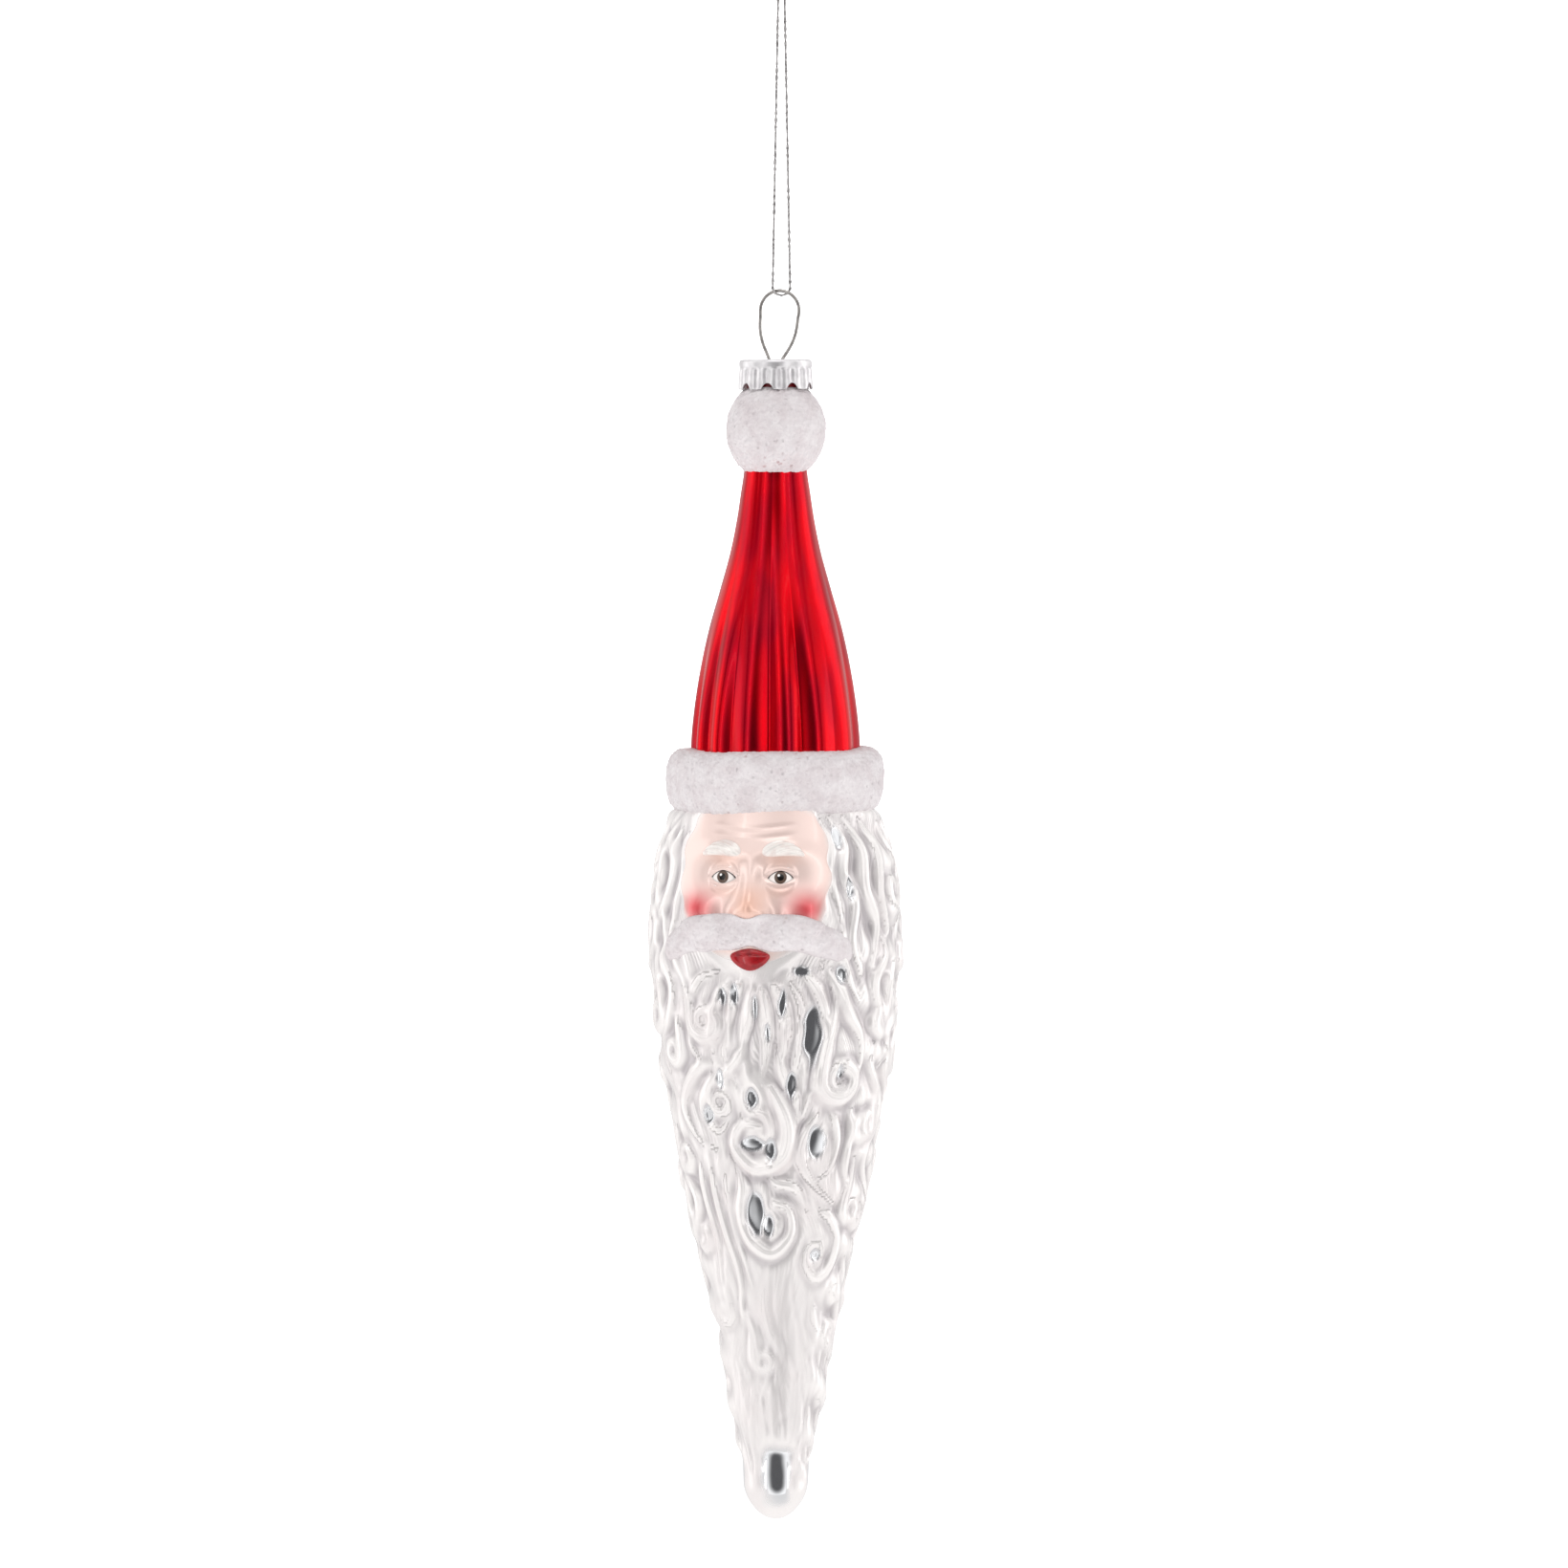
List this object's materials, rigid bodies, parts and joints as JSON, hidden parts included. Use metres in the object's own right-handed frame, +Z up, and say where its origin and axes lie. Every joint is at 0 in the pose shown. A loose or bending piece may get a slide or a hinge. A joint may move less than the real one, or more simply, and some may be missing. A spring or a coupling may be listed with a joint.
{
  "type": "icicle hanging ornament",
  "caption": "Hollow blown-glass icicle ornament shaped as a bearded head in a tall hat, with a metal cap, spring-wire loop and thread to hang it by.",
  "frame": {"origin": "the knot at the top of the thread loop, where the ornament hangs", "axes": "+Z up along the hanging ornament, -Y the way the face looks, +X to the left of the figure"},
  "size_m": [0.0396, 0.0364, 0.243],
  "materials": {
    "silvered_glass": "gloss",
    "red_lacquer": "gloss",
    "glitter": "matte",
    "flesh_enamel": "gloss",
    "red_enamel": "gloss",
    "pearl_enamel": "gloss",
    "black_enamel": "gloss",
    "bright_cap_metal": "gloss",
    "spring_wire": "gloss",
    "metallic_thread": "satin"
  },
  "bodies": {
    "knot": {"thread_knot": "metallic_thread"},
    "thread": {"hanging_thread": "metallic_thread"},
    "wire": {"wire_loop": "spring_wire"},
    "cap": {"cap": "bright_cap_metal"},
    "glass": {"glass_body": "silvered_glass", "hat_lacquer": "red_lacquer", "pompom_glitter": "glitter", "brim_glitter": "glitter", "face_enamel": "flesh_enamel", "moustache_glitter": "glitter", "lips_enamel": "red_enamel", "eye_left": "black_enamel", "eye_right": "black_enamel", "brow_left": "pearl_enamel", "brow_right": "pearl_enamel"}
  },
  "joints": [
    {"name": "thread_swing", "type": "hinge", "parent": "knot", "child": "thread", "pos_m": [0, 0, 0], "axis": [0, 1, 0], "range_deg": [-30, 30]},
    {"name": "loop_swing", "type": "hinge", "parent": "thread", "child": "wire", "pos_m": [0, 0, -0.0523], "axis": [1, 0, 0], "range_deg": [-40, 40]},
    {"name": "loop_turn", "type": "hinge", "parent": "wire", "child": "cap", "pos_m": [-0.00093, 0, -0.0629], "axis": [0, 0, 1], "continuous": true},
    {"name": "body_pull", "type": "slide", "parent": "cap", "child": "glass", "axis": [0, 0, -1], "range_m": [0, 0.02]}
  ]
}
